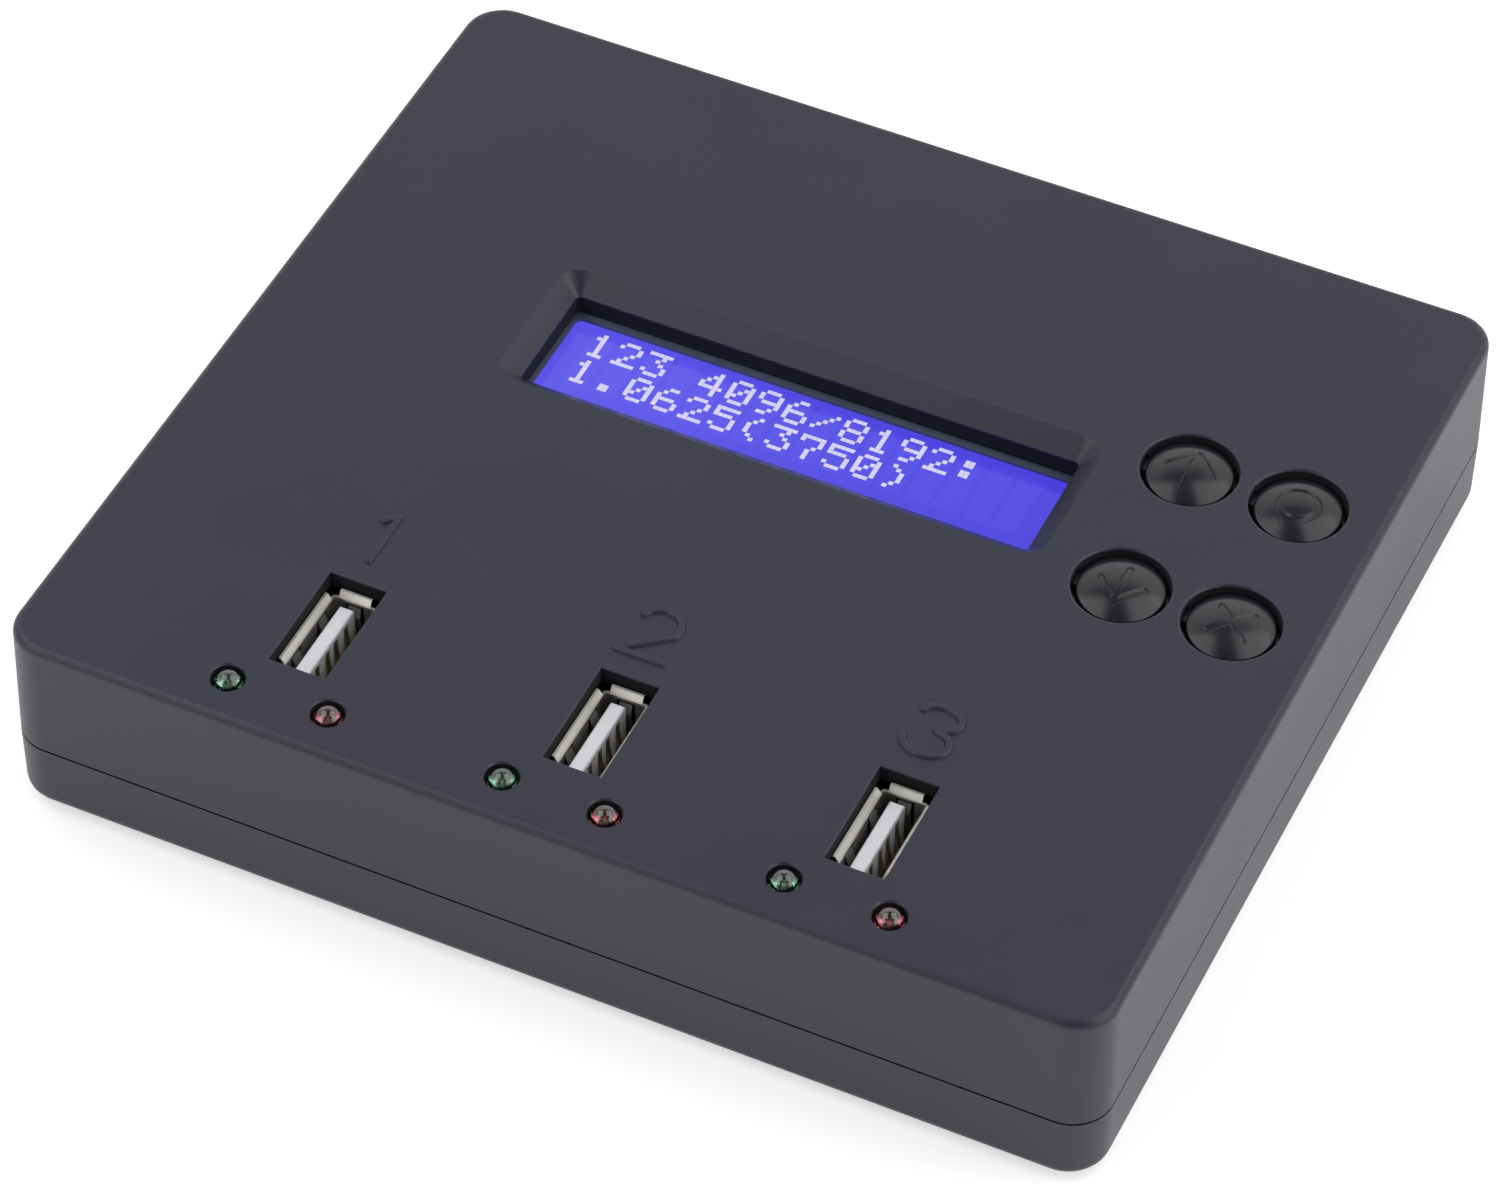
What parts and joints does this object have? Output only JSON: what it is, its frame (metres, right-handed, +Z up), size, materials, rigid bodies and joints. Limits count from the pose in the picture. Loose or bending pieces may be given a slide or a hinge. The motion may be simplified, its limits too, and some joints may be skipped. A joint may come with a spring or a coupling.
{
  "type": "usb flash drive duplicator",
  "caption": "Desktop flash drive duplicator: flat two-part case with upright USB receptacles, status lights, a recessed character display and round push buttons.",
  "frame": {"origin": "centre of the footprint, on the surface the feet stand on", "axes": "+X to the right along the front edge, +Y to the back where the power inlet is, +Z up"},
  "size_m": [0.1354, 0.1218, 0.0271],
  "materials": {
    "case_plastic": "fine spark-eroded texture",
    "foot_rubber": "matt",
    "screw_steel": "zinc plated",
    "board_laminate": "solder mask",
    "plated_shell": "nickel plated, satin",
    "insulator": "semi-gloss",
    "contact_gold": "gold flash",
    "tinned_lead": "tinned",
    "green_lens": "tinted epoxy, clear",
    "red_lens": "tinted epoxy, clear",
    "black_plastic": "moulded",
    "button_plastic": "moulded, satin",
    "bezel_steel": "black, satin",
    "display_glass": "lit blue film under glass",
    "diffuser": "milky",
    "chip_epoxy": "moulded",
    "can_metal": "satin",
    "spring_steel": "bright"
  },
  "bodies": {
    "case": {"top_cover": "case_plastic", "bottom_cover": "case_plastic", "rubber_feet": "foot_rubber", "case_screws": "screw_steel", "main_board": "board_laminate", "board_screws": "screw_steel", "usb_1_shell": "plated_shell", "usb_1_tongue": "insulator", "usb_1_contacts": "contact_gold", "led_1_green": "green_lens", "led_1_red": "red_lens", "usb_2_shell": "plated_shell", "usb_2_tongue": "insulator", "usb_2_contacts": "contact_gold", "led_2_green": "green_lens", "led_2_red": "red_lens", "usb_3_shell": "plated_shell", "usb_3_tongue": "insulator", "usb_3_contacts": "contact_gold", "led_3_green": "green_lens", "led_3_red": "red_lens", "led_leads": "tinned_lead", "led_spacers": "black_plastic", "display_board": "board_laminate", "display_bezel": "bezel_steel", "display_glass": "display_glass", "display_backlight": "diffuser", "display_header": "black_plastic", "display_header_pins": "contact_gold", "display_spacers": "contact_gold", "display_screws": "screw_steel", "up_switch_base": "black_plastic", "up_switch_dome": "spring_steel", "enter_switch_base": "black_plastic", "enter_switch_dome": "spring_steel", "down_switch_base": "black_plastic", "down_switch_dome": "spring_steel", "cancel_switch_base": "black_plastic", "cancel_switch_dome": "spring_steel", "switch_plates": "spring_steel", "switch_terminals": "tinned_lead", "jack_housing": "black_plastic", "jack_pin": "tinned_lead", "jack_sleeve_contact": "tinned_lead", "controller_chip": "chip_epoxy", "memory_chip": "chip_epoxy", "crystal_can": "can_metal", "voltage_regulator": "chip_epoxy", "filter_capacitors": "can_metal"},
    "up_key": {"up_button": "button_plastic", "up_switch_plunger": "black_plastic"},
    "enter_key": {"enter_button": "button_plastic", "enter_switch_plunger": "black_plastic"},
    "down_key": {"down_button": "button_plastic", "down_switch_plunger": "black_plastic"},
    "cancel_key": {"cancel_button": "button_plastic", "cancel_switch_plunger": "black_plastic"}
  },
  "joints": [
    {"name": "up_press", "type": "slide", "parent": "case", "child": "up_key", "axis": [0, 0, -1], "range_m": [0, 0.0003], "stiffness_N_per_m": 5000, "deforming": ["up_switch_dome"]},
    {"name": "enter_press", "type": "slide", "parent": "case", "child": "enter_key", "axis": [0, 0, -1], "range_m": [0, 0.0003], "stiffness_N_per_m": 5000, "deforming": ["enter_switch_dome"]},
    {"name": "down_press", "type": "slide", "parent": "case", "child": "down_key", "axis": [0, 0, -1], "range_m": [0, 0.0003], "stiffness_N_per_m": 5000, "deforming": ["down_switch_dome"]},
    {"name": "cancel_press", "type": "slide", "parent": "case", "child": "cancel_key", "axis": [0, 0, -1], "range_m": [0, 0.0003], "stiffness_N_per_m": 5000, "deforming": ["cancel_switch_dome"]}
  ]
}
